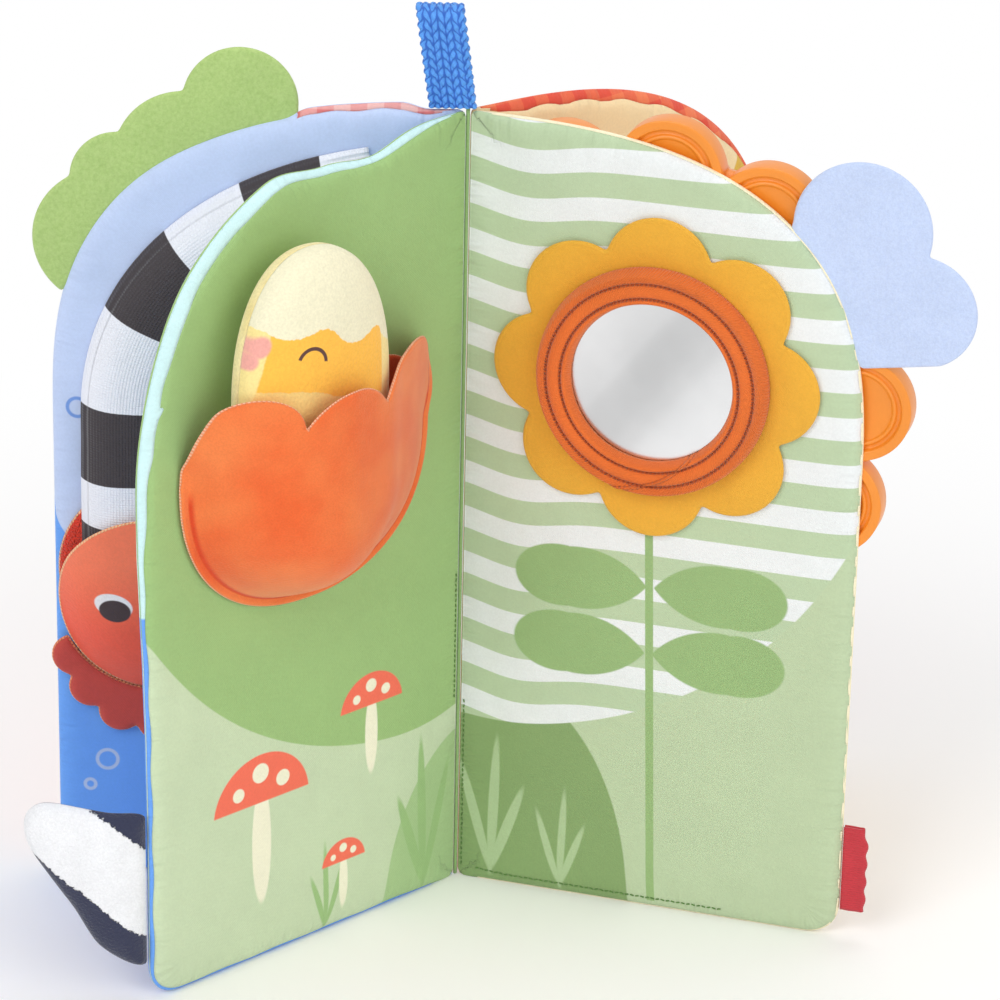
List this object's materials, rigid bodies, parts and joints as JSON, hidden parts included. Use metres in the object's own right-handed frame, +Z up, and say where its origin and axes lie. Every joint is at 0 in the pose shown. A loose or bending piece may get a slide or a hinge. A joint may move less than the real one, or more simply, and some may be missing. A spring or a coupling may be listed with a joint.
{
  "type": "crinkle cloth book",
  "caption": "Soft baby book of padded arch-topped leaves on one upright seam, with a plush chick in a tulip pocket, a flower mirror, felt tabs and a moulded teether.",
  "frame": {"origin": "foot of the spine seam, on the surface the book stands on", "axes": "+Z up the spine, -Y towards the reader, +X to the reader's right"},
  "size_m": [0.254, 0.1572, 0.2593],
  "materials": {
    "spine_cloth": "woven cotton",
    "webbing": "coarse woven tape",
    "sea_cloth": "woven cotton with a soft sheen",
    "gingham_cloth": "woven cotton",
    "garden_cloth": "woven cotton",
    "cream_cloth": "woven cotton",
    "striped_cloth": "woven cotton",
    "batting": "loose fibre",
    "crinkle_film": "thin clear film",
    "green_felt": "felt",
    "blue_felt": "felt",
    "striped_knit": "ribbed knit in dark and white bands",
    "red_knit": "short-napped knit",
    "fin_cloth": "short-napped cloth",
    "orange_velour": "velour",
    "white_minky": "short-pile plush",
    "navy_velour": "velour",
    "filling": "loose fibre",
    "yellow_plush": "short-pile plush",
    "cream_plush": "short-pile plush",
    "ochre_cloth": "woven cloth",
    "mirror_film": "mirror film on a soft disc",
    "orange_knit": "knit binding",
    "teether": "soft satin moulding",
    "red_ribbon": "woven ribbon"
  },
  "bodies": {
    "spine": {"spine_seam": "spine_cloth", "hanging_loop": "webbing"},
    "left_cover": {"left_cover_sea_panel": "sea_cloth", "left_cover_gingham_panel": "gingham_cloth", "left_cover_batting": "batting", "left_cover_crinkle_film": "crinkle_film", "bush_tab": "green_felt", "striped_band": "striped_knit", "fish_pocket_back": "red_knit", "fish_pocket_face": "red_knit", "fish_fin": "fin_cloth"},
    "left_page": {"left_page_garden_panel": "garden_cloth", "left_page_sea_panel": "sea_cloth", "left_page_batting": "batting", "left_page_crinkle_film": "crinkle_film", "tulip_pocket_back": "orange_velour", "tulip_pocket_front": "orange_velour", "flipper_front": "white_minky", "flipper_back": "navy_velour", "flipper_filling": "filling"},
    "chick": {"chick_front": "yellow_plush", "chick_back": "cream_plush", "chick_filling": "filling"},
    "right_page": {"right_page_cream_panel": "cream_cloth", "right_page_striped_panel": "striped_cloth", "right_page_batting": "batting", "right_page_crinkle_film": "crinkle_film", "flower_petals": "ochre_cloth", "mirror_disc": "mirror_film", "mirror_ring": "orange_knit", "cloud_tab": "blue_felt", "teether_petals": "teether", "side_tab": "red_ribbon"},
    "right_cover": {"right_cover_gingham_panel": "gingham_cloth", "right_cover_cream_panel": "cream_cloth", "right_cover_batting": "batting", "right_cover_crinkle_film": "crinkle_film"}
  },
  "joints": [
    {"name": "left_cover_turn", "type": "hinge", "parent": "spine", "child": "left_cover", "pos_m": [0, 0, 0], "axis": [0, 0, 1], "range_deg": [-30, 30]},
    {"name": "left_page_turn", "type": "hinge", "parent": "left_cover", "child": "left_page", "pos_m": [0, 0, 0], "axis": [0, 0, 1], "range_deg": [-18, 41]},
    {"name": "right_page_turn", "type": "hinge", "parent": "left_page", "child": "right_page", "pos_m": [0, 0, 0], "axis": [0, 0, 1], "range_deg": [-58, 40]},
    {"name": "right_cover_turn", "type": "hinge", "parent": "right_page", "child": "right_cover", "pos_m": [0, 0, 0], "axis": [0, 0, 1], "range_deg": [-9, 33]},
    {"name": "chick_pull", "type": "slide", "parent": "left_page", "child": "chick", "axis": [0, 0, 1], "range_m": [0, 0.075]}
  ]
}
